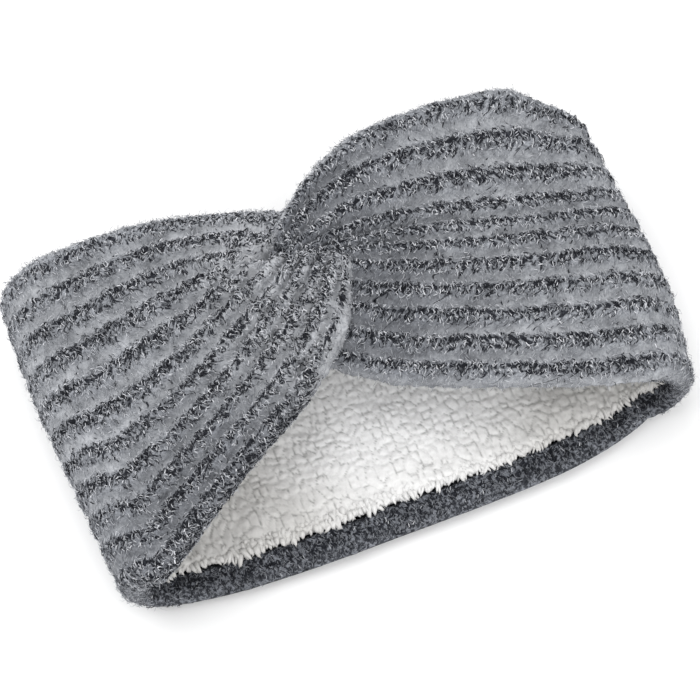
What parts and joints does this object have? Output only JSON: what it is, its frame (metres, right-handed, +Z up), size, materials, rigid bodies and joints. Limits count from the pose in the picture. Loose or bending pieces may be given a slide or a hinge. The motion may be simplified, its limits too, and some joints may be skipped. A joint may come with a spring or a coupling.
{
  "type": "ear warmer headband",
  "caption": "Wide ribbed knit headband loop with a twisted front, turned hems and a fleece lining, lying flat on its back panel.",
  "frame": {"origin": "middle of the bounding box in X and Y, on the plane that the back panel rests on", "axes": "+X along the loop's flattened length, towards the wearer's left; +Y to the upper edge of the band; +Z up, out of the front with the twist"},
  "size_m": [0.2201, 0.132, 0.0627],
  "materials": {
    "knit": "brushed rib knit, mottled grey with near-black flecks",
    "fleece": "curly off-white fleece"
  },
  "bodies": {
    "root": {"knit_band": "knit", "fleece_lining": "fleece"}
  },
  "joints": []
}
